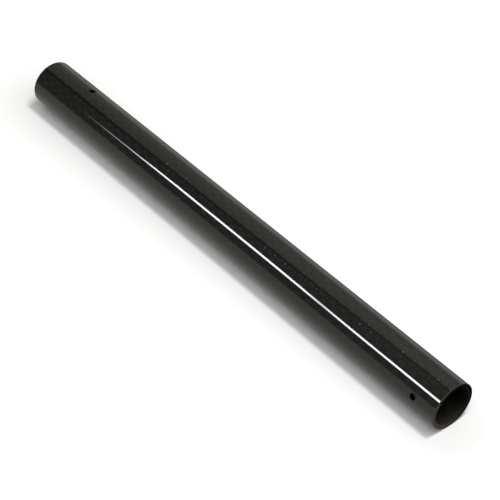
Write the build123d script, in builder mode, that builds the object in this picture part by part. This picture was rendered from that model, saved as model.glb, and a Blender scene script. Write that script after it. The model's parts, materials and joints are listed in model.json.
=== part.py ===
from build123d import *
from math import cos, hypot, radians, sin
import os

os.makedirs("parts", exist_ok=True)

# A straight round tube of woven carbon fibre laminate, lying on the floor.
# Its axis runs along X at mid height, the middle of the underside is the origin.
# All lengths in millimetres, all angles in degrees.

# Stock
outer_diameter = 25.0
wall_thickness = 2.0
tube_length = 310.0
end_break = 0.25  # outer and inner edge of both sawn ends, broken with abrasive

# Cross holes, each drilled straight through both walls
hole_diameter = 3.2
hole_break = 0.2  # outer mouths only, the inner ones can't be reached
front_hole_setback = 14.0  # hole centre to the +X end
back_hole_setback = 33.0  # hole centre to the -X end
hole_spread = 90.0  # angle between the two holes, seen along the tube
lie_angle = 15.0  # how far the back hole leans from upright as the tube lies

# Worked out from the sizes above
outer_radius = outer_diameter / 2
bore_radius = outer_radius - wall_thickness
hole_radius = hole_diameter / 2
middle_of_wall = (outer_radius + bore_radius) / 2
drill_reach = outer_diameter  # well past the skin on either side


def distance_from_axis(edge):
    """How far an edge's start is from the axis of the tube."""
    point = edge @ 0
    return hypot(point.Y, point.Z - outer_radius)


def hole_plane(x, lean):
    """A plane on the tube's axis that faces along a hole, leaning from upright towards +Y."""
    along_hole = (0, sin(radians(lean)), cos(radians(lean)))
    return Plane(origin=(x, 0, outer_radius), x_dir=(1, 0, 0), z_dir=along_hole)


holes = [
    (tube_length / 2 - front_hole_setback, lie_angle - hole_spread),
    (back_hole_setback - tube_length / 2, lie_angle),
]

with BuildPart() as tube:
    # The ring section, drawn on the -X end and carried the whole length
    sawn_end = Plane(origin=(-tube_length / 2, 0, outer_radius), x_dir=(0, 1, 0), z_dir=(1, 0, 0))
    with BuildSketch(sawn_end):
        Circle(outer_radius)
        Circle(bore_radius, mode=Mode.SUBTRACT)
    extrude(amount=tube_length)
    chamfer(tube.edges().filter_by(GeomType.CIRCLE), end_break)

    # Both cross holes, each with its two outer mouths eased where the drill went in and out
    for x, lean in holes:
        with BuildSketch(hole_plane(x, lean)):
            Circle(hole_radius)
        extrude(amount=drill_reach, both=True, mode=Mode.SUBTRACT)
        cut_edges = tube.edges(Select.LAST)
        mouths = [edge for edge in cut_edges if distance_from_axis(edge) > middle_of_wall]
        chamfer(mouths, hole_break)

tube.part.label = "carbon fibre tube"
export_step(tube.part, "parts/tube.step")
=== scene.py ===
"""Visual model of a glossy carbon fibre tube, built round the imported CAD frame.

The tube lies on the floor along X, with its two cross holes turned as the frame has them.
Lengths are metres in the frame's own axes, and MM turns a real size in millimetres to metres.
An angle round the tube is counted from straight up towards -Y, which is the camera's side.
"""

import json
import logging
import math
from dataclasses import dataclass
from enum import Enum

import bmesh  # noqa: E402
import bpy  # noqa: E402
from bpy.types import ID, Material, Mesh, Node, NodeSocket, NodeTree, Object  # noqa: E402
from mathutils import Matrix, Vector  # noqa: E402

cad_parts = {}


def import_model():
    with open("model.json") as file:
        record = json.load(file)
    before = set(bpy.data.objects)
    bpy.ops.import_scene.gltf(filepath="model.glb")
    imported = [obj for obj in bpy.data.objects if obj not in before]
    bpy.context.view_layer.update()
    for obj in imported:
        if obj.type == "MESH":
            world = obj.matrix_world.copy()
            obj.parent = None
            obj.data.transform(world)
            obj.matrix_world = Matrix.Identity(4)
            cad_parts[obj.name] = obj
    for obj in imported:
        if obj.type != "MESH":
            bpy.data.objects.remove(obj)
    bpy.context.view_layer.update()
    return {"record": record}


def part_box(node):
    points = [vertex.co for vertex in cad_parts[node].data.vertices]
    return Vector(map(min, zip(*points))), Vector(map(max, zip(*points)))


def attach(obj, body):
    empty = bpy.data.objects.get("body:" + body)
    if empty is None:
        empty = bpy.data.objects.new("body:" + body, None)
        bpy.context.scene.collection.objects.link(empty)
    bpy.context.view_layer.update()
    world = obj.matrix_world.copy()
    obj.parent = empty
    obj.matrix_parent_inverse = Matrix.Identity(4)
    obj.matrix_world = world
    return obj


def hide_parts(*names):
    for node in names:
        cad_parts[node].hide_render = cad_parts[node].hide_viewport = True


MM = 0.001
MATHS = "ShaderNodeMath"
VECTORS = "ShaderNodeVectorMath"
RANGE = "ShaderNodeMapRange"
NOISE = "ShaderNodeTexNoise"
MIX = "ShaderNodeMix"
MAPPING = "ShaderNodeMapping"
SPLIT = "ShaderNodeSeparateXYZ"
JOIN = "ShaderNodeCombineXYZ"
BUMP = "ShaderNodeBump"
# Noise keeps mostly to the middle of its range of 0 to 1.
NOISE_SPAN = {"From Min": 0.3, "From Max": 0.7}
log = logging.getLogger("tube")


def linear(hex_colour: str) -> tuple[float, float, float, float]:
    """Turns an sRGB hex colour to the linear colour that a shader takes.

    Args:
        hex_colour: Six hex digits with a leading hash.

    Returns:
        Linear red, green, blue and an alpha of 1.
    """
    channels = [int(hex_colour[k : k + 2], 16) / 255 for k in (1, 3, 5)]
    curved = [c / 12.92 if c <= 0.04045 else ((c + 0.055) / 1.055) ** 2.4 for c in channels]
    return (*curved, 1.0)


def add_node(tree: NodeTree, kind: str, feeds: dict | list | None = None, **settings) -> Node:
    """Adds one shader node with its settings and links.

    Args:
        tree: The node tree that it goes into.
        kind: The node's type name.
        feeds: For each input a socket, a node (its first output) or a plain value. A list feeds the
            first inputs in order, and a dict feeds inputs by name or number.
        settings: Attributes of the node itself, such as its operation.

    Returns:
        The new node.
    """
    node = tree.nodes.new(kind)
    for name, value in settings.items():
        setattr(node, name, value)
    for socket, source in feeds.items() if isinstance(feeds, dict) else enumerate(feeds or ()):
        if isinstance(source, Node):
            source = source.outputs[0]
        if isinstance(source, NodeSocket):
            tree.links.new(source, node.inputs[socket])
        else:
            node.inputs[socket].default_value = source
    return node


def add_object(name: str, data: bmesh.types.BMesh | ID) -> Object:
    """Puts a new object in the scene.

    Args:
        name: Its name.
        data: Its shape, which becomes a mesh and is freed, or its lamp or camera.

    Returns:
        The object.
    """
    if isinstance(data, bmesh.types.BMesh):
        shape, data = data, bpy.data.meshes.new(name)
        shape.to_mesh(data)
        shape.free()
    made = bpy.data.objects.new(name, data)
    bpy.context.scene.collection.objects.link(made)
    return made


def stand(place: Vector, up: Vector) -> Matrix:
    """Works out how to stand a thing in its place.

    Args:
        place: Where its origin goes.
        up: The unit vector that its own Z goes along. Its X stays as near to X as that allows.

    Returns:
        The matrix that stands it there.
    """
    side = (Vector((1, 0, 0)) - up * up.x).normalized()
    return Matrix.Translation(place) @ Matrix((side, up.cross(side), up)).transposed().to_4x4()


def in_mirrors(tree: NodeTree, path: Node) -> Node:
    """Tells what mirrors and glass show from what the camera sees and what lights the scene.

    Args:
        tree: The nodes of a material or of the world.
        path: Its Light Path node.

    Returns:
        1 for a ray that comes by way of a mirror or a glass, otherwise 0.
    """
    rays = [path.outputs["Is Glossy Ray"], path.outputs["Is Transmission Ray"]]
    return add_node(tree, MATHS, rays, operation="MAXIMUM")


@dataclass(frozen=True)
class Finish:
    """A surface finish: one material with a single Principled shader.

    Attributes:
        name: The material's name.
    """

    name: str

    def material(self) -> Material:
        """Makes the material and paints it.

        Returns:
            The new material.
        """
        made = bpy.data.materials.new(self.name)
        made.use_nodes = True
        tree = made.node_tree
        tree.nodes.clear()
        shader = add_node(tree, "ShaderNodeBsdfPrincipled", self.paint(tree))
        add_node(tree, "ShaderNodeOutputMaterial", {"Surface": shader})
        return made

    def paint(self, tree: NodeTree) -> dict:
        """Adds the finish's own nodes.

        Args:
            tree: The material's nodes.

        Returns:
            What feeds the Principled shader, by the names of its inputs.
        """
        raise NotImplementedError


@dataclass(frozen=True)
class TubeFinish(Finish):
    """A finish on the tube, laid out about the tube's axis.

    Attributes:
        axis_height: Height of the tube's axis over the floor.
    """

    axis_height: float = 12.5 * MM

    def from_axis(self, tree: NodeTree, scale: tuple[float, float, float] = (1.0, 1.0, 1.0)) -> Node:
        """Measures places from the tube's axis.

        Args:
            tree: The material's nodes.
            scale: What X, Y and Z are multiplied by.

        Returns:
            The place, with the axis through the origin.
        """
        place = add_node(tree, "ShaderNodeTexCoord").outputs["Object"]
        centring = {"Vector": place, "Scale": scale, "Location": (0, 0, -self.axis_height)}
        return add_node(tree, MAPPING, centring)


@dataclass
class Weave:
    """Nodes that say where a point lies in the cloth.

    Attributes:
        around: Place round the tube, counted in tows along it.
        column: Number of the tow round the tube.
        row: Number of the tow along the tube.
        in_column: Place across the tow round the tube, 0 to 1.
        in_row: Place across the tow along the tube, 0 to 1.
        hoop_cell: 1 where the tow round the tube crosses on top, otherwise 0.
        height: Height of the upper tow over the cloth's hollows.
        along_on_top: 1 where a tow along the tube shows, otherwise 0.
    """

    around: Node
    column: Node
    row: Node
    in_column: Node
    in_row: Node
    hoop_cell: Node
    height: Node
    along_on_top: Node


@dataclass(frozen=True)
class WovenGlossLaminate(TubeFinish):
    """Plain-woven carbon cloth in epoxy, wrapped, cured, ground round and lacquered clear.

    The lacquer gives the eye a wet mirror that carries the whole studio. Under it the cloth is
    nearly black and shows only as a faint chequer, painted as sheen: tows along the tube are painted
    lighter squares and tows round it darker ones. Pale specks over some of the darker ones are
    painted glints, strongest in a band along the tube, and the cloth prints through the lacquer, so
    that edges of reflections are not quite straight.

    Attributes:
        tows_around: Number of tows that run along the tube, counted round it.
        hoop_pitch: Spacing along the tube of the tows that run round it.
        column_start: Where the columns are counted from, in tows.
        row_start: Where the rows are counted from, in tows.
        twist: Rows that the cloth turns in a metre, because it was not wrapped quite straight.
        wander: How far apart the two ends of a tow's wandering can lie, in tows.
        wander_size: Length over which it wanders.
        along_carbon_and_sheen: Carbon of a tow that runs along the tube, painted lighter as its sheen.
        around_colour: Carbon of a tow that runs round it, painted darker with no sheen.
        hollow_shade: Share of that colour which is left in the hollows between tows, as painted shade.
        crown: Height of a tow's crown.
        roundness: How round a tow is across its width, against how far it dips and rises.
        fibre_width: Width of a streak of fibres. Real ones are 7 micrometres, so it is drawn coarse.
        fibre_run: Length of a streak.
        roughness: Roughness where a streak is darkest and where it is palest.
        painted_glint_colour: A painted glint, drawn as a pale speck on a tow's crown.
        speck_size: Its half length along the tube, and its half width round it.
        speck_core: Share of its half size within which it is at its plainest.
        speck_range: How plain the faintest and the plainest speck are.
        speck_rarity: Power that makes most of them faint.
        glint_tow: The place round the tube, in tows, where the painted glints are strongest.
        glint_line: Cosine of the angle from there at which few show, and within which all do.
        speck_stray: How plain those few are.
        speck_fade: Columns between which the specks come to their full strength, from -X on.
        speck_far: Their strength before that.
        print_through: Height that the cloth lifts the lacquer by.
        lacquer_wave: Height of the lacquer's slow waves.
        wave_size: Length of such a wave.
    """

    tows_around: int = 32
    hoop_pitch: float = 3.77 * MM
    column_start: float = 0.64
    row_start: float = 0.64
    twist: float = -1.8
    wander: float = 0.3
    wander_size: float = 35.7 * MM
    along_carbon_and_sheen: str = "#191918"
    around_colour: str = "#0f0f0e"
    hollow_shade: float = 0.7
    crown: float = 0.1 * MM
    roundness: float = 0.35
    fibre_width: float = 0.4 * MM
    fibre_run: float = 12.0 * MM
    roughness: tuple[float, float] = (0.38, 0.5)
    painted_glint_colour: str = "#4e4e4a"
    speck_size: tuple[float, float] = (0.95 * MM, 0.75 * MM)
    speck_core: float = 0.2
    speck_range: tuple[float, float] = (0.08, 0.98)
    speck_rarity: float = 6.0
    glint_tow: float = -0.87
    glint_line: tuple[float, float] = (0.95, 0.985)
    speck_stray: float = 0.08
    speck_fade: tuple[float, float] = (-38, -18)
    speck_far: float = 0.3
    print_through: float = 0.0014 * MM
    lacquer_wave: float = 0.0015 * MM
    wave_size: float = 11.1 * MM

    def paint(self, tree: NodeTree) -> dict:
        """Adds the weave, the specks and the lacquer.

        Args:
            tree: The material's nodes.

        Returns:
            What feeds the shader.
        """
        centred = self.from_axis(tree)
        weave = self.lay_cloth(tree, centred)
        streak = self.streaks(tree, centred, weave)
        carbon = self.carbon(tree, weave, streak)
        # The specks are painted glints, mixed into the cloth's colour.
        speck = self.specks(tree, weave)
        colour = add_node(tree, MIX, {0: speck, 6: carbon, 7: linear(self.painted_glint_colour)}, data_type="RGBA")
        smooth, dull = self.roughness
        rough = add_node(tree, RANGE, {"Value": streak, **NOISE_SPAN, "To Min": smooth, "To Max": dull})
        waves = add_node(tree, NOISE, {"Vector": centred, "Scale": 1 / self.wave_size, "Detail": 1.0})
        flow = add_node(tree, BUMP, {"Height": waves, "Distance": self.lacquer_wave})
        printed = {"Height": weave.height, "Distance": self.print_through, "Normal": flow}
        return {
            "Base Color": colour.outputs[2],
            "Roughness": rough,
            "Normal": add_node(tree, BUMP, {"Height": weave.height, "Distance": self.crown}),
            # The carbon lies in the lacquer's own resin, so it has no mirror of its own.
            "Specular IOR Level": 0.0,
            # A thin lacquer, flatted and polished back, mirrors about two thirds of what a flood coat does.
            "Coat Weight": 0.68,
            "Coat Roughness": 0.02,
            "Coat IOR": 1.5,
            "Coat Normal": add_node(tree, BUMP, printed),
        }

    def lay_cloth(self, tree: NodeTree, centred: Node) -> Weave:
        """Lays the cloth round the tube.

        Args:
            tree: The material's nodes.
            centred: Place, with the tube's axis through the origin.

        Returns:
            Where a point lies in the cloth.
        """
        axes = add_node(tree, SPLIT, [centred])
        turn = add_node(tree, MATHS, [axes.outputs["Y"], axes.outputs["Z"]], operation="ARCTAN2")
        # The tows wander a little from their places.
        wandering = add_node(tree, NOISE, {"Vector": centred, "Scale": 1 / self.wander_size, "Detail": 1.0})
        sways = add_node(tree, SPLIT, [wandering.outputs["Color"]]).outputs
        shifts = []
        for sway, start in zip(sways, (self.column_start, self.row_start)):
            feeds = [sway, self.wander, start - self.wander / 2]
            shifts.append(add_node(tree, MATHS, feeds, operation="MULTIPLY_ADD"))
        column_shift, row_shift = shifts
        twisted = add_node(tree, MATHS, [axes.outputs["X"], self.twist, row_shift], operation="MULTIPLY_ADD")
        rows = [turn, self.tows_around / math.tau, twisted]
        across_rows = add_node(tree, MATHS, rows, operation="MULTIPLY_ADD")
        columns = [axes.outputs["X"], 1 / self.hoop_pitch, column_shift]
        across_columns = add_node(tree, MATHS, columns, operation="MULTIPLY_ADD")
        column = add_node(tree, MATHS, [across_columns], operation="FLOOR")
        row = add_node(tree, MATHS, [across_rows], operation="FLOOR")
        in_column = add_node(tree, MATHS, [across_columns], operation="FRACT")
        in_row = add_node(tree, MATHS, [across_rows], operation="FRACT")
        cell = add_node(tree, MATHS, [column, row], operation="ADD")
        odd = add_node(tree, MATHS, [cell, 2.0], operation="FLOORED_MODULO")
        hoop_cell = add_node(tree, MATHS, [1.0, odd], operation="SUBTRACT")
        # Each tow dips under and rises over its neighbours, and is round across its own width.
        bulges = []
        for part in (in_column, in_row):
            angle = add_node(tree, MATHS, [part, math.pi], operation="MULTIPLY")
            bulges.append(add_node(tree, MATHS, [angle], operation="SINE"))
        over = add_node(tree, MATHS, [odd, 0.5], operation="SUBTRACT")
        under = add_node(tree, MATHS, [0.5, odd], operation="SUBTRACT")
        tops = []
        for lift, (length, width) in ((over, bulges), (under, bulges[::-1])):
            rounded = add_node(tree, MATHS, [width, self.roundness], operation="MULTIPLY")
            tops.append(add_node(tree, MATHS, [length, lift, rounded], operation="MULTIPLY_ADD"))
        along_top, hoop_top = tops
        height = add_node(tree, MATHS, [along_top, hoop_top], operation="MAXIMUM")
        along_on_top = add_node(tree, MATHS, [along_top, hoop_top], operation="GREATER_THAN")
        return Weave(across_rows, column, row, in_column, in_row, hoop_cell, height, along_on_top)

    def streaks(self, tree: NodeTree, centred: Node, weave: Weave) -> NodeSocket:
        """Draws streaks of fibres that follow whichever tow is on top.

        Args:
            tree: The material's nodes.
            centred: Place, with the tube's axis through the origin.
            weave: Where a point lies in the cloth.

        Returns:
            The streaks, from 0 to 1.
        """
        fine, coarse = 1 / self.fibre_width, 1 / self.fibre_run
        layers = []
        for scale in ((coarse, fine, fine), (fine, coarse, coarse)):
            stretched = add_node(tree, MAPPING, {"Vector": centred, "Scale": scale})
            layers.append(add_node(tree, NOISE, {"Vector": stretched, "Scale": 1.0, "Detail": 2.0}))
        along, around = layers
        return add_node(tree, MIX, {0: weave.along_on_top, 2: around, 3: along}, data_type="FLOAT").outputs[0]

    def carbon(self, tree: NodeTree, weave: Weave, streak: NodeSocket) -> NodeSocket:
        """Colours the tows, with a painted sheen on those along the tube and painted shade in the hollows.

        Args:
            tree: The material's nodes.
            weave: Where a point lies in the cloth.
            streak: Streaks of fibres.

        Returns:
            The cloth's colour.
        """
        tone = add_node(tree, RANGE, {"Value": streak, **NOISE_SPAN, "To Min": 0.7, "To Max": 1.3})
        # The hollows beside the tows get painted shade.
        shade = add_node(tree, RANGE, {"Value": weave.height, "From Max": 0.45, "To Min": self.hollow_shade})
        strength = add_node(tree, MATHS, [tone, shade], operation="MULTIPLY")
        # Tows along the tube are painted lighter than tows round it, as their sheen.
        carbons = {6: linear(self.around_colour), 7: linear(self.along_carbon_and_sheen)}
        tow = add_node(tree, MIX, {0: weave.along_on_top, **carbons}, data_type="RGBA")
        return add_node(tree, VECTORS, {0: tow.outputs[2], "Scale": strength}, operation="SCALE").outputs[0]

    def specks(self, tree: NodeTree, weave: Weave) -> Node:
        """Paints glints as pale specks over the crowns of the tows round the tube.

        Args:
            tree: The material's nodes.
            weave: Where a point lies in the cloth.

        Returns:
            How strongly a speck shows, from 0 to 1.
        """
        row_pitch = math.tau * self.axis_height / self.tows_around
        ways = ((weave.in_column, self.hoop_pitch), (weave.in_row, row_pitch))
        offsets = []
        for (part, pitch), size in zip(ways, self.speck_size):
            off = add_node(tree, MATHS, [part, 0.5], operation="SUBTRACT")
            offsets.append(add_node(tree, MATHS, [off, pitch / size], operation="MULTIPLY"))
        offset = add_node(tree, JOIN, offsets)
        reach = add_node(tree, VECTORS, [offset], operation="LENGTH").outputs["Value"]
        spot = add_node(tree, RANGE, {"Value": reach, "From Min": 1.0, "From Max": self.speck_core})
        here = add_node(tree, MATHS, [spot, weave.hoop_cell], operation="MULTIPLY")
        return add_node(tree, MATHS, [here, self.speck_strength(tree, weave)], operation="MULTIPLY")

    def speck_strength(self, tree: NodeTree, weave: Weave) -> Node:
        """Draws lots for how plain each painted glint is: most are faint and a few are plain.

        Args:
            tree: The material's nodes.
            weave: Where a point lies in the cloth.

        Returns:
            How plain the speck of this crown is, from 0 to 1.
        """
        crown = add_node(tree, JOIN, [weave.column, weave.row])
        lot = add_node(tree, "ShaderNodeTexWhiteNoise", {"Vector": crown}, noise_dimensions="2D")
        rare = add_node(tree, MATHS, [lot.outputs["Value"], self.speck_rarity], operation="POWER")
        faint, plain = self.speck_range
        drawn = add_node(tree, MATHS, [rare, plain - faint, faint], operation="MULTIPLY_ADD")
        tows_off = add_node(tree, MATHS, [weave.around, self.glint_tow], operation="SUBTRACT")
        angle_off = add_node(tree, MATHS, [tows_off, math.tau / self.tows_around], operation="MULTIPLY")
        closeness = add_node(tree, MATHS, [angle_off], operation="COSINE")
        # Painted glints keep to a band along the tube and are fainter towards -X.
        places = (
            (closeness, self.glint_line, self.speck_stray),
            (weave.column, self.speck_fade, self.speck_far),
        )
        for place, (low, high), least in places:
            limits = {"Value": place, "From Min": low, "From Max": high, "To Min": least}
            share = add_node(tree, RANGE, limits)
            drawn = add_node(tree, MATHS, [drawn, share], operation="MULTIPLY")
        return drawn


@dataclass(frozen=True)
class BareLaminate(TubeFinish):
    """Laminate without lacquer, painted lighter on one side of the tube, as light falls there.

    Attributes:
        dark: Its colour where its pattern is darkest.
        light: Its colour where its pattern is palest.
        painted_light_colour: Its colour where the painted light is strongest.
        gloss: Specular level.
        roughness: Roughness where its grain is darkest and where it is palest.
        relief: Height of its pattern.
        lit_side: Angle round the tube where the painted light is strongest, in degrees.
        lit_spread: Cosine of the angle from there at which the painted light ends, and is strongest.
    """

    dark: str = "#060505"
    light: str = "#0f0e0c"
    painted_light_colour: str = "#2b2722"
    gloss: float = 0.25
    roughness: tuple[float, float] = (0.45, 0.6)
    relief: float = 0.02 * MM
    lit_side: float = 130.0
    lit_spread: tuple[float, float] = (-0.4, 1.0)

    def painted_light_by_side(self, tree: NodeTree) -> Node:
        """Spreads the painted light over its own side of the tube.

        Args:
            tree: The material's nodes.

        Returns:
            The painted light, from 0 to 1.
        """
        out = add_node(tree, VECTORS, [self.from_axis(tree, (0.0, 1.0, 1.0))], operation="NORMALIZE")
        side = math.radians(self.lit_side)
        towards = (0, -math.sin(side), math.cos(side))
        lean = add_node(tree, VECTORS, [out, towards], operation="DOT_PRODUCT").outputs["Value"]
        clean, full = self.lit_spread
        return add_node(tree, RANGE, {"Value": lean, "From Min": clean, "From Max": full})

    def dress(self, tree: NodeTree, pattern: Node, grain: Node, lit_share: Node) -> dict:
        """Colours a pattern and paints the light on it.

        Args:
            tree: The material's nodes.
            pattern: The pattern, from 0 where it is darkest to 1.
            grain: The noise in it.
            lit_share: The painted light, from 0 to 1.

        Returns:
            What feeds the shader.
        """
        shades = {6: linear(self.dark), 7: linear(self.light)}
        bare = add_node(tree, MIX, {0: pattern, **shades}, data_type="RGBA")
        colour = add_node(tree, MIX, {0: lit_share, 6: bare.outputs[2], 7: linear(self.painted_light_colour)}, data_type="RGBA")
        smooth, dull = self.roughness
        rough = add_node(tree, RANGE, {"Value": grain, **NOISE_SPAN, "To Min": smooth, "To Max": dull})
        return {
            "Base Color": colour.outputs[2],
            "IOR": 1.5,
            "Roughness": rough,
            "Specular IOR Level": self.gloss,
            "Normal": add_node(tree, BUMP, {"Height": pattern, "Distance": self.relief}),
        }


@dataclass(frozen=True)
class MandrelFace(BareLaminate):
    """Inside of the laminate, cured against a waxed steel mandrel.

    It is resin-rich and even, so it gives the eye a dull black with no lacquer. Its lower side,
    towards the camera, is painted a paler brown, as painted light that comes in at the open ends.

    Attributes:
        mottle: Width of a mottle, where the wax has left the resin dull.
        drawn: How many times longer than wide a mottle is, from drawing the mandrel out.
    """

    mottle: float = 3.0 * MM
    drawn: float = 4.0

    def paint(self, tree: NodeTree) -> dict:
        """Adds the mottled resin and the painted light.

        Args:
            tree: The material's nodes.

        Returns:
            What feeds the shader.
        """
        place = add_node(tree, "ShaderNodeTexCoord").outputs["Object"]
        drawn_out = add_node(tree, MAPPING, {"Vector": place, "Scale": (1 / self.drawn, 1.0, 1.0)})
        cloud = add_node(tree, NOISE, {"Vector": drawn_out, "Scale": 1 / self.mottle, "Detail": 3.0})
        return self.dress(tree, cloud, cloud, self.painted_light_by_side(tree))


@dataclass(frozen=True)
class SawnLaminate(BareLaminate):
    """Laminate cut across its plies with a diamond saw or drill, its edges broken with wet paper.

    Cut fibres swallow light, so it gives the eye a velvet black with the plies as faint close
    rings about the bore. On the ends, the side turned to the floor in front is painted a lighter
    brown, as painted light from that floor.

    Attributes:
        half_length: From the tube's middle to an end.
        ply: Thickness of a ply.
        ply_share: How plainly the plies show against the saw's grain.
        grit: Width of a groove that the saw leaves.
        lit_fade: Power that thins the painted light towards its edge.
        lit_mottle: Share of the painted light that is left in the grooves.
        lit_depth: How far from an end the painted light reaches at most.
    """

    dark: str = "#020202"
    light: str = "#0a0a0a"
    painted_light_colour: str = "#423f39"
    gloss: float = 0.01
    roughness: tuple[float, float] = (0.5, 0.65)
    relief: float = 0.01 * MM
    lit_side: float = 115.0
    lit_spread: tuple[float, float] = (-0.9, 1.0)
    half_length: float = 0.155
    ply: float = 0.25 * MM
    ply_share: float = 0.35
    grit: float = 0.3 * MM
    lit_fade: float = 1.3
    lit_mottle: float = 0.75
    lit_depth: float = 0.4 * MM

    def paint(self, tree: NodeTree) -> dict:
        """Adds the ply rings, the saw's grain and the painted light.

        Args:
            tree: The material's nodes.

        Returns:
            What feeds the shader.
        """
        centred, across = self.from_axis(tree), self.from_axis(tree, (0.0, 1.0, 1.0))
        radius = add_node(tree, VECTORS, [across], operation="LENGTH").outputs["Value"]
        plies = add_node(tree, MATHS, [radius, math.pi / self.ply], operation="MULTIPLY")
        ring = add_node(tree, MATHS, [plies], operation="SINE")
        grain = add_node(tree, NOISE, {"Vector": centred, "Scale": 1 / self.grit, "Detail": 2.0})
        both = add_node(tree, MATHS, [ring, self.ply_share, grain], operation="MULTIPLY_ADD")
        # The painted light is mottled by the grain and kept to the ends.
        lit_strength = add_node(tree, MATHS, [self.painted_light_by_side(tree), self.lit_fade], operation="POWER")
        mottled = add_node(tree, RANGE, {"Value": grain, **NOISE_SPAN, "To Min": self.lit_mottle})
        lit_mottled = add_node(tree, MATHS, [lit_strength, mottled], operation="MULTIPLY")
        along = add_node(tree, MATHS, [add_node(tree, SPLIT, [centred])], operation="ABSOLUTE")
        inner = self.half_length - self.lit_depth
        at_end = add_node(tree, MATHS, [along, inner], operation="GREATER_THAN")
        lit_share = add_node(tree, MATHS, [lit_mottled, at_end], operation="MULTIPLY")
        return self.dress(tree, both, grain, lit_share)


class Surface(Enum):
    """The tube's surfaces, by the number of their material slot."""

    SKIN = 0
    BORE = 1
    CUT = 2
    EDGE = 3


@dataclass(frozen=True)
class CrossHole:
    """A hole drilled straight through both walls.

    Attributes:
        x: Its place along the tube.
        axis: Its direction, square to the tube.
        radius: Its radius.
        mouth_break: Width of the easing round its outer mouths.
        steps: Sides of its circle.
    """

    x: float
    axis: Vector
    radius: float
    mouth_break: float = 0.2 * MM
    steps: int = 72

    def cutter(self, skin_radius: float, axis_height: float) -> Object:
        """Makes the pin that cuts it, flared where it leaves the skin.

        Args:
            skin_radius: Outer radius of the tube.
            axis_height: Height of the tube's axis over the floor.

        Returns:
            The pin in its place.
        """
        bm = bmesh.new()
        rim = bmesh.ops.create_circle(bm, segments=self.steps, radius=self.radius)["verts"]
        edges = list({edge for vert in rim for edge in vert.link_edges})
        lip = self.radius + 2 * self.mouth_break
        root_height = skin_radius - self.mouth_break
        lip_height = skin_radius + self.mouth_break
        well_clear = 1.3 * skin_radius
        for radius, height in ((self.radius, root_height), (lip, lip_height), (lip, well_clear)):
            grown = bmesh.ops.extrude_edge_only(bm, edges=edges)["geom"]
            ring = [item for item in grown if isinstance(item, bmesh.types.BMVert)]
            edges = [item for item in grown if isinstance(item, bmesh.types.BMEdge)]
            now = math.hypot(ring[0].co.x, ring[0].co.y)
            bmesh.ops.scale(bm, verts=ring, vec=(radius / now, radius / now, 1))
            bmesh.ops.translate(bm, verts=ring, vec=(0, 0, height - ring[0].co.z))
        bmesh.ops.contextual_create(bm, geom=edges)
        bmesh.ops.mirror(bm, geom=bm.verts[:] + bm.edges[:] + bm.faces[:], axis="Z", merge_dist=0.01 * MM)
        for vert in bm.verts:
            # The mouth follows the skin, which falls away to either side of the hole.
            fall = skin_radius - math.sqrt(skin_radius**2 - vert.co.y**2)
            if abs(vert.co.z) > skin_radius / 2:
                vert.co.z -= math.copysign(fall, vert.co.z)
        place = stand(Vector((self.x, 0, axis_height)), self.axis)
        bmesh.ops.transform(bm, matrix=place, verts=bm.verts)
        bmesh.ops.recalc_face_normals(bm, faces=bm.faces)
        return add_object("drill", bm)


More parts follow.
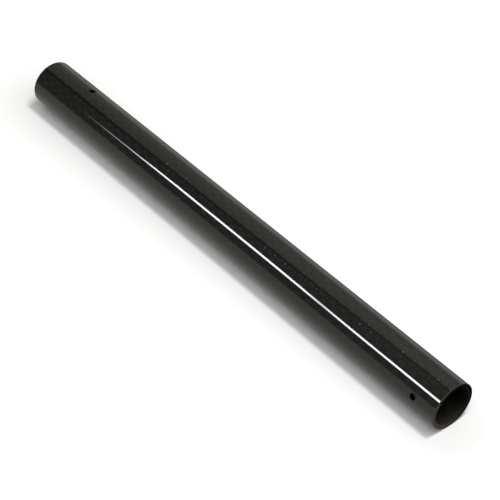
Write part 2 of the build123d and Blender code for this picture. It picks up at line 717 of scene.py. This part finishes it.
@dataclass
class CarbonTube:
    """The tube: one length of roll-wrapped laminate with two cross holes.

    Attributes:
        outer_radius: Radius of the lacquered skin.
        bore_radius: Radius of the bore.
        length: Length from sawn end to sawn end.
        holes: The cross holes.
        edge_break: Width of the easing on the ends' edges.
        steps: Sides of its circle.
        stations: Cuts along its length.
        crease: Angle between two faces, in degrees, from which the edge between them stays sharp.
    """

    outer_radius: float
    bore_radius: float
    length: float
    holes: list[CrossHole]
    edge_break: float = 0.25 * MM
    steps: int = 384
    stations: int = 59
    crease: float = 25.0

    @classmethod
    def from_frame(cls, record: dict) -> "CarbonTube":
        """Reads the tube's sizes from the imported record.

        Args:
            record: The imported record.

        Returns:
            The tube, not built yet.
        """
        mounts = {mount["name"]: mount for mount in record["mounts"]}
        low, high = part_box("tube")
        holes = [
            CrossHole(
                x=mounts[name]["pos_m"][0],
                axis=Vector(mounts[name]["axis"]).normalized(),
                radius=mounts[name]["dims"]["r_mm"] * MM,
            )
            for name in ("front_cross_hole", "back_cross_hole")
        ]
        return cls(
            outer_radius=mounts["outside"]["dims"]["r_mm"] * MM,
            bore_radius=mounts["bore"]["dims"]["r_mm"] * MM,
            length=high.x - low.x,
            holes=holes,
        )

    @property
    def axis_height(self) -> float:
        """Height of the axis over the floor that the tube lies on."""
        return self.outer_radius

    def ring(self) -> Object:
        """Turns the wall's section round the axis.

        Returns:
            The plain tube with eased edges, with no cross holes yet.
        """
        bm = bmesh.new()
        half = self.length / 2
        inner, outer = self.bore_radius, self.outer_radius
        outline = ((-half, outer), (half, outer), (half, inner), (-half, inner))
        corners = [bm.verts.new((x, 0, radius)) for x, radius in outline]
        bm.faces.new(corners)
        bmesh.ops.bevel(
            bm, geom=corners, offset=self.edge_break, segments=1, profile=0.5, affect="VERTICES", material=-1
        )
        bmesh.ops.delete(bm, geom=bm.faces[:], context="FACES_ONLY")
        runs = [edge for edge in bm.edges if edge.calc_length() > half]
        bmesh.ops.subdivide_edges(bm, edges=runs, cuts=self.stations)
        wall = bm.verts[:] + bm.edges[:]
        bmesh.ops.spin(
            bm, geom=wall, cent=(0, 0, 0), axis=(1, 0, 0), angle=math.tau, steps=self.steps, use_merge=True
        )
        bmesh.ops.remove_doubles(bm, verts=bm.verts, dist=0.001 * MM)
        bmesh.ops.translate(bm, verts=bm.verts, vec=(0, 0, self.axis_height))
        bmesh.ops.recalc_face_normals(bm, faces=bm.faces)
        return add_object("carbon_tube", bm)

    def drill(self, tube: Object) -> None:
        """Cuts the cross holes and puts the result in the tube's mesh.

        Args:
            tube: The tube's object, with its plain mesh.
        """
        drills = []
        for hole in self.holes:
            drill = hole.cutter(self.outer_radius, self.axis_height)
            cut = tube.modifiers.new("cross_hole", "BOOLEAN")
            cut.operation, cut.solver, cut.object = "DIFFERENCE", "EXACT", drill
            drills.append(drill)
        drilled = bpy.data.meshes.new_from_object(tube.evaluated_get(bpy.context.evaluated_depsgraph_get()))
        tube.modifiers.clear()
        plain, tube.data = tube.data, drilled
        bpy.data.meshes.remove(plain)
        for drill in drills:
            bpy.data.meshes.remove(drill.data)

    def surface_of(self, outward: float, endward: float) -> Surface:
        """Names a face's surface.

        Args:
            outward: How far the face looks straight away from the axis, from -1 to 1.
            endward: How far it looks along the tube, from 0 to 1.

        Returns:
            Its surface.
        """
        square_on, on_the_slant = 0.99, 0.4
        if abs(outward) > square_on:
            return Surface.SKIN if outward > 0 else Surface.BORE
        return Surface.EDGE if min(abs(outward), endward) > on_the_slant else Surface.CUT

    def name_surfaces(self, mesh: Mesh) -> None:
        """Gives each face its material slot and each curved surface its true normals.

        Args:
            mesh: The drilled mesh.
        """
        mesh.shade_smooth()
        mesh.set_sharp_from_angle(angle=math.radians(self.crease))
        normals = [Vector((0, 0, 0))] * len(mesh.loops)
        for face in mesh.polygons:
            out = Vector((0, face.center.y, face.center.z - self.axis_height)).normalized()
            surface = self.surface_of(face.normal.dot(out), abs(face.normal.x))
            face.material_index = surface.value
            if surface in (Surface.CUT, Surface.EDGE):
                continue
            for corner in face.loop_indices:
                spot = mesh.vertices[mesh.loops[corner].vertex_index].co
                radial = Vector((0, spot.y, spot.z - self.axis_height)).normalized()
                normals[corner] = radial if surface is Surface.SKIN else -radial
        mesh.normals_split_custom_set(normals)

    def finishes(self) -> tuple[Finish, ...]:
        """Lists the finishes.

        Returns:
            The finishes in the order of Surface.
        """
        lie = {"axis_height": self.axis_height}
        cut = {**lie, "half_length": self.length / 2}
        return (
            WovenGlossLaminate("woven_gloss_laminate", **lie),
            MandrelFace("mandrel_face", **lie),
            SawnLaminate("sawn_laminate", **cut),
            # The eased edges are painted lighter on the side that faces up and towards the camera, as painted
            # light.
            SawnLaminate(
                "eased_edge",
                dark="#0b0a09",
                light="#171614",
                painted_light_colour="#4a463e",
                gloss=0.1,
                roughness=(0.4, 0.55),
                lit_side=75.0,
                lit_spread=(-0.75, 0.3),
                **cut,
            ),
        )

    def build(self) -> Object:
        """Makes the finished tube and puts it in the scene.

        Returns:
            The tube's object.
        """
        tube = self.ring()
        self.drill(tube)
        tube.data.name = "carbon_tube"
        tube.data.materials.clear()
        for finish in self.finishes():
            tube.data.materials.append(finish.material())
        self.name_surfaces(tube.data)
        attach(tube, "root")
        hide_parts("tube")
        return tube


@dataclass(frozen=True)
class SeamlessPaper(Finish):
    """White paper sheet under the tube: matt, and lifted to white away from it.

    Attributes:
        colour: The paper's own white.
        mirrored: The same with a faint amber, painted into the tube's reflections of it.
        half_length: How far the tube reaches to either side of the middle.
        glow: Distance from the tube, and the light added there for the camera and for mirrors.
        shade: Distance behind the tube, and how much darker mirrors show the paper there, as painted shade.
    """

    colour: str = "#eeeeee"
    mirrored: str = "#eeeee6"
    half_length: float = 0.155
    glow: tuple[tuple[float, float, float], ...] = (
        (0.0, 0.06, 0.26),
        (0.009, 0.05, 0.20),
        (0.0125, 0.05, 0.17),
        (0.015, 0.05, 0.03),
        (0.018, 0.08, 0.06),
        (0.035, 0.17, 0.06),
        (0.3, 0.25, 0.14),
        (1.0, 0.50, 0.45),
        (4.0, 0.97, 0.97),
    )
    shade: tuple[tuple[float, float], ...] = (
        (0.01, 0.6),
        (0.02, 0.7),
        (0.05, 0.61),
        (0.08, 0.47),
        (0.15, 0.2),
        (0.4, 0.0),
    )

    def paint(self, tree: NodeTree) -> dict:
        """Adds the paper's white and the light that lifts it.

        Args:
            tree: The material's nodes.

        Returns:
            What feeds the shader.
        """
        place = add_node(tree, "ShaderNodeTexCoord").outputs["Object"]
        axes = add_node(tree, SPLIT, [place])
        path = add_node(tree, "ShaderNodeLightPath")
        mirrored = in_mirrors(tree, path)
        # Mirrors show the paper with painted shade behind the tube and a painted amber tint.
        dimmed = add_node(tree, MATHS, [self.dimming(tree, axes), mirrored], operation="MULTIPLY")
        kept = add_node(tree, MATHS, [1.0, dimmed], operation="SUBTRACT")
        whites = {6: linear(self.colour), 7: linear(self.mirrored)}
        white = add_node(tree, MIX, {0: mirrored, **whites}, data_type="RGBA")
        paper = add_node(tree, VECTORS, {0: white.outputs[2], "Scale": kept}, operation="SCALE")
        glows = self.glows(tree, axes)
        to_mirror = add_node(tree, MATHS, [glows.outputs[1], mirrored], operation="MULTIPLY")
        lights = [glows.outputs[0], path.outputs["Is Camera Ray"], to_mirror]
        strength = add_node(tree, MATHS, lights, operation="MULTIPLY_ADD")
        return {
            "Base Color": paper,
            "Roughness": 1.0,
            "Specular IOR Level": 0.0,
            "Emission Color": (1, 1, 1, 1),
            "Emission Strength": strength,
        }

    def glows(self, tree: NodeTree, axes: Node) -> Node:
        """Reads the added light from the distance to the tube.

        Args:
            tree: The material's nodes.
            axes: Place on the paper, split in three.

        Returns:
            A node whose first output is the light for the camera and the second that for mirrors.
        """
        along = add_node(tree, MATHS, [axes.outputs["X"]], operation="ABSOLUTE")
        past_end = add_node(tree, MATHS, [along, self.half_length], operation="SUBTRACT")
        past_end = add_node(tree, MATHS, [past_end, 0.0], operation="MAXIMUM")
        offset = add_node(tree, JOIN, [past_end, axes.outputs["Y"]])
        away = add_node(tree, VECTORS, [offset], operation="LENGTH").outputs["Value"]
        # The ramp runs over the distance's square root, which spreads out the places near the tube.
        root = add_node(tree, MATHS, [away, 0.5], operation="POWER")
        reach = math.sqrt(self.glow[-1][0])
        share = add_node(tree, MATHS, [root, reach], operation="DIVIDE")
        ramp = add_node(tree, "ShaderNodeValToRGB", {"Fac": share})
        stops = ramp.color_ramp.elements
        while len(stops) < len(self.glow):
            stops.new(1.0)
        for stop, (distance, to_camera, to_mirror) in zip(stops, self.glow):
            stop.position = math.sqrt(distance) / reach
            stop.color = (to_camera, to_mirror, 0, 1)
        return add_node(tree, "ShaderNodeSeparateColor", [ramp.outputs[0]])

    def dimming(self, tree: NodeTree, axes: Node) -> Node:
        """Reads from the distance behind the tube how much painted shade mirrors show on the paper.

        Args:
            tree: The material's nodes.
            axes: Place on the paper, split in three.

        Returns:
            The share that is taken off.
        """
        behind = add_node(tree, "ShaderNodeFloatCurve", {"Value": axes.outputs["Y"], "Factor": 1.0})
        behind.mapping.extend = "HORIZONTAL"
        points = behind.mapping.curves[0].points
        points[0].location, points[1].location = (0.0, 0.0), (1.0, 0.0)
        for distance, darkening in self.shade:
            points.new(distance, darkening)
        behind.mapping.update()
        return behind


@dataclass(frozen=True)
class SoftBox:
    """An area lamp.

    Attributes:
        name: Its name.
        place: Where it hangs. It faces the middle of the floor.
        size: Its two sides. The first lies as near along X as the aim allows.
        radiance: Its brightness, where 1 is the white of the background.
        mirrored: Whether glossy surfaces show it.
    """

    name: str
    place: Vector
    size: tuple[float, float]
    radiance: float
    mirrored: bool = True

    def hang(self) -> None:
        """Makes the lamp, which the camera doesn't see."""
        data = bpy.data.lights.new(self.name, "AREA")
        data.shape = "RECTANGLE"
        data.size, data.size_y = self.size
        data.energy = self.radiance * math.pi * self.size[0] * self.size[1]
        lamp = add_object(self.name, data)
        lamp.matrix_world = stand(self.place, self.place.normalized())
        lamp.visible_camera = False
        lamp.visible_glossy = self.mirrored


@dataclass(frozen=True)
class StripGlow(Finish):
    """The strip light's diffuser: opal sheet, lit from behind and dimmer along part of its length.

    Attributes:
        level_name: The mesh attribute that holds its brightness.
    """

    level_name: str = "level"

    def paint(self, tree: NodeTree) -> dict:
        """Adds the light.

        Args:
            tree: The material's nodes.

        Returns:
            What feeds the shader.
        """
        level = add_node(tree, "ShaderNodeAttribute", attribute_name=self.level_name)
        return {
            "Base Color": (0, 0, 0, 1),
            "Specular IOR Level": 0.0,
            "Emission Color": (1, 1, 1, 1),
            "Emission Strength": level.outputs["Fac"],
        }


@dataclass(frozen=True)
class StripLight:
    """A long thin light over the camera's side, which only glossy surfaces show.

    Attributes:
        height: Its height over the floor.
        skew: How far its cross lines lean towards X for each metre along Y.
        radiance: Its brightness at full level.
        line: Places along its middle, as x, y, level and width along Y.
    """

    height: float = 0.9425
    skew: float = 0.42
    radiance: float = 35.0
    line: tuple[tuple[float, float, float, float], ...] = (
        (0.60, -1.29, 0.0, 0.38),
        (0.20, -1.30, 1.08, 0.38),
        (-0.640, -1.242, 1.08, 0.38),
        (-0.724, -1.203, 1.02, 0.34),
        (-0.775, -1.180, 1.00, 0.34),
        (-0.788, -1.160, 0.92, 0.33),
        (-0.800, -1.118, 0.63, 0.33),
        (-0.822, -1.092, 0.95, 0.33),
        (-0.846, -1.050, 1.00, 0.31),
        (-0.884, -1.020, 1.00, 0.30),
        (-0.999, -1.010, 1.02, 0.29),
        (-1.035, -1.005, 1.00, 0.28),
        (-1.071, -1.012, 1.05, 0.22),
        (-1.120, -1.034, 0.95, 0.195),
        (-1.155, -1.064, 0.87, 0.16),
        (-1.190, -1.092, 0.67, 0.14),
        (-1.224, -1.114, 0.55, 0.14),
        (-1.252, -1.128, 0.31, 0.14),
        (-1.304, -1.150, 0.22, 0.13),
        (-1.357, -1.190, 0.10, 0.14),
        (-1.450, -1.250, 0.0, 0.14),
    )

    def hang(self) -> None:
        """Makes the strip, which only reflections show."""
        glow = StripGlow("opal_strip")
        bm = bmesh.new()
        level = bm.verts.layers.float.new(glow.level_name)
        ends = [bm.verts.new(), bm.verts.new()]
        edges = [bm.edges.new(ends)]
        for station in self.line:
            if station is not self.line[0]:
                grown = bmesh.ops.extrude_edge_only(bm, edges=edges)["geom"]
                edges = [item for item in grown if isinstance(item, bmesh.types.BMEdge)]
                ends = list(edges[0].verts)
            x, y, share, width = station
            for vert, side in zip(ends, (-0.5, 0.5)):
                vert.co = (x + side * width * self.skew, y + side * width, self.height)
                vert[level] = share * self.radiance
        strip = add_object("strip_light", bm)
        strip.data.materials.append(glow.material())
        strip.visible_camera = strip.visible_diffuse = strip.visible_shadow = False


@dataclass(frozen=True)
class Room:
    """The studio round the tube, painted on the sky.

    A pale wall panel stands behind the tube, the ceiling over the camera's side is dark, and a
    white band runs round the horizon. The far end of the panel and ceiling, towards -X, is dimmer,
    and the panel's upper edge slants.

    Attributes:
        levels: Angle round the tube in degrees, and the brightness there at the far and near end.
        reach: X of a direction at the far end and at the near end.
        slant: How far the panel's edge sinks towards the near end, in degrees.
        slant_reach: X of a direction where it begins to sink and where it is lowest.
        slant_middle: Angle round the tube where the slant is greatest, in degrees.
        slant_width: How far from there it has faded out, in degrees.
        tint: The walls' slightly warm paint.
        band: Height of a direction up to which the horizon is white, and at which it ends.
        fill: Share of the room's brightness that lights matt surfaces.
    """

    levels: tuple[tuple[float, float, float], ...] = (
        (-180, 0.90, 0.90),
        (-90, 0.95, 0.97),
        (-81, 0.93, 0.93),
        (-75, 0.64, 0.56),
        (-70, 0.55, 0.53),
        (-61, 0.58, 0.66),
        (-53, 0.61, 0.75),
        (-45, 0.58, 0.83),
        (-30, 0.58, 0.95),
        (-12, 0.57, 0.96),
        (-4, 0.53, 0.85),
        (1, 0.10, 0.24),
        (6, 0.05, 0.28),
        (12, 0.14, 0.42),
        (19, 0.25, 0.40),
        (35, 0.25, 0.42),
        (58, 0.30, 0.40),
        (74, 0.26, 0.34),
        (86, 0.30, 0.36),
        (91, 0.85, 0.85),
        (180, 0.90, 0.90),
    )
    reach: tuple[float, float] = (-0.66, -0.48)
    slant: float = 14.0
    slant_reach: tuple[float, float] = (-0.60, -0.46)
    slant_middle: float = -7.0
    slant_width: float = 50.0
    tint: str = "#fffefa"
    band: tuple[float, float] = (0.0, 0.04)
    fill: float = 0.55

    def paint(self) -> None:
        """Paints the sky."""
        world = bpy.data.worlds.new("room")
        bpy.context.scene.world = world
        world.use_nodes = True
        tree = world.node_tree
        tree.nodes.clear()
        heading = add_node(tree, "ShaderNodeTexCoord").outputs["Generated"]
        axes = add_node(tree, SPLIT, [heading])
        far_end, near_end = self.reach
        near = add_node(tree, RANGE, {"Value": axes.outputs["X"], "From Min": far_end, "From Max": near_end})
        far_walls, near_walls = self.walls(tree, axes)
        brightness = add_node(tree, MIX, {0: near, 2: far_walls, 3: near_walls}, data_type="FLOAT")
        path = add_node(tree, "ShaderNodeLightPath")
        mirrored = in_mirrors(tree, path)
        share = add_node(tree, RANGE, {"Value": mirrored, "To Min": self.fill, "To Max": 1.0})
        room = add_node(tree, MATHS, [brightness, share], operation="MULTIPLY")
        full, none = self.band
        band = add_node(tree, RANGE, {"Value": axes.outputs["Z"], "From Min": none, "From Max": full})
        # The camera sees plain white all round, and mirrors show it along the horizon.
        mirrored_band = add_node(tree, MATHS, [band, mirrored], operation="MULTIPLY")
        white = add_node(tree, MATHS, [mirrored_band, path.outputs["Is Camera Ray"]], operation="MAXIMUM")
        tinted = add_node(tree, VECTORS, {0: linear(self.tint)[:3], "Scale": room}, operation="SCALE")
        sky_colour = add_node(tree, MIX, {0: white, 6: tinted, 7: (1, 1, 1, 1)}, data_type="RGBA")
        sky = add_node(tree, "ShaderNodeBackground", {"Color": sky_colour.outputs[2], "Strength": 1.0})
        add_node(tree, "ShaderNodeOutputWorld", {"Surface": sky})

    def walls(self, tree: NodeTree, axes: Node) -> list[Node]:
        """Makes the brightness round the tube.

        Args:
            tree: The world's nodes.
            axes: The direction, split in three.

        Returns:
            The brightness at the far end and at the near end.
        """
        front = add_node(tree, MATHS, [axes.outputs["Y"], -1.0], operation="MULTIPLY")
        turn = add_node(tree, MATHS, [front, axes.outputs["Z"]], operation="ARCTAN2")
        begins, lowest = self.slant_reach
        slant, middle, width = map(math.radians, (self.slant, self.slant_middle, self.slant_width))
        sinks = {"Value": axes.outputs["X"], "From Min": begins, "From Max": lowest, "To Max": slant}
        sunk = add_node(tree, RANGE, sinks)
        from_middle = add_node(tree, MATHS, [turn, middle], operation="SUBTRACT")
        distance = add_node(tree, MATHS, [from_middle], operation="ABSOLUTE")
        hump = add_node(tree, RANGE, {"Value": distance, "From Min": width, "From Max": 0.0})
        slanted = add_node(tree, MATHS, [sunk, hump, turn], operation="MULTIPLY_ADD")
        share = add_node(tree, MATHS, [slanted, 1 / math.tau, 0.5], operation="MULTIPLY_ADD")
        ramps = []
        for column in (1, 2):
            ramps.append(add_node(tree, "ShaderNodeValToRGB", {"Fac": share}))
            stops = ramps[-1].color_ramp.elements
            while len(stops) < len(self.levels):
                stops.new(1.0)
            for stop, level in zip(stops, self.levels):
                stop.position = level[0] / 360 + 0.5
                stop.color = (level[column],) * 3 + (1.0,)
        return ramps


@dataclass(frozen=True)
class Studio:
    """Floor, room, lamps and camera.

    Attributes:
        floor_size: Side of the paper sheet.
        lens: Focal length for Blender's 36 mm frame.
        azimuth: How far round from -Y towards +X the camera stands, in degrees.
        elevation: The camera's angle over the floor, in degrees.
        distance: From the camera to its aim.
        aim: The point in the middle of the picture.
    """

    floor_size: float = 16.0
    lens: float = 131.60
    azimuth: float = 50.05
    elevation: float = 43.10
    distance: float = 0.90063
    aim: Vector = Vector((0.01686, -0.00364, 0.0125))

    def lay_floor(self) -> None:
        """Lays the paper sheet."""
        bm = bmesh.new()
        bmesh.ops.create_grid(bm, x_segments=1, y_segments=1, size=self.floor_size / 2)
        floor = add_object("floor", bm)
        floor.data.materials.append(SeamlessPaper("seamless_paper").material())

    def hang_lamps(self) -> None:
        """Hangs the lamps."""
        SoftBox("overhead", Vector((0.35, 0.195, 1.5)), size=(0.4, 0.26), radiance=37.7).hang()
        fill_place = Vector((0.55, -0.45, 1.5))
        SoftBox("broad_fill", fill_place, size=(1.0, 1.0), radiance=3.0, mirrored=False).hang()
        StripLight().hang()

    def stand_camera(self) -> None:
        """Stands the camera where the photograph was taken from."""
        data = bpy.data.cameras.new("camera")
        data.lens = self.lens
        camera = add_object("camera", data)
        round_, up = math.radians(self.azimuth), math.radians(self.elevation)
        back = Vector((math.sin(round_) * math.cos(up), -math.cos(round_) * math.cos(up), math.sin(up)))
        camera.location = self.aim + back * self.distance
        camera.rotation_mode = "QUATERNION"
        camera.rotation_quaternion = (-back).to_track_quat("-Z", "Y")
        bpy.context.scene.camera = camera

    def set_up(self) -> None:
        """Makes the whole studio."""
        self.lay_floor()
        Room().paint()
        self.hang_lamps()
        self.stand_camera()
        bpy.context.scene.view_settings.view_transform = "Standard"


def main() -> None:
    """Loads the frame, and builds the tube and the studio."""
    logging.basicConfig(level=logging.INFO, format="%(message)s")
    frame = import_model()
    tube = CarbonTube.from_frame(frame["record"]).build()
    log.info("%s: %d faces", tube.name, len(tube.data.polygons))
    Studio().set_up()


if __name__ == "__main__":
    main()
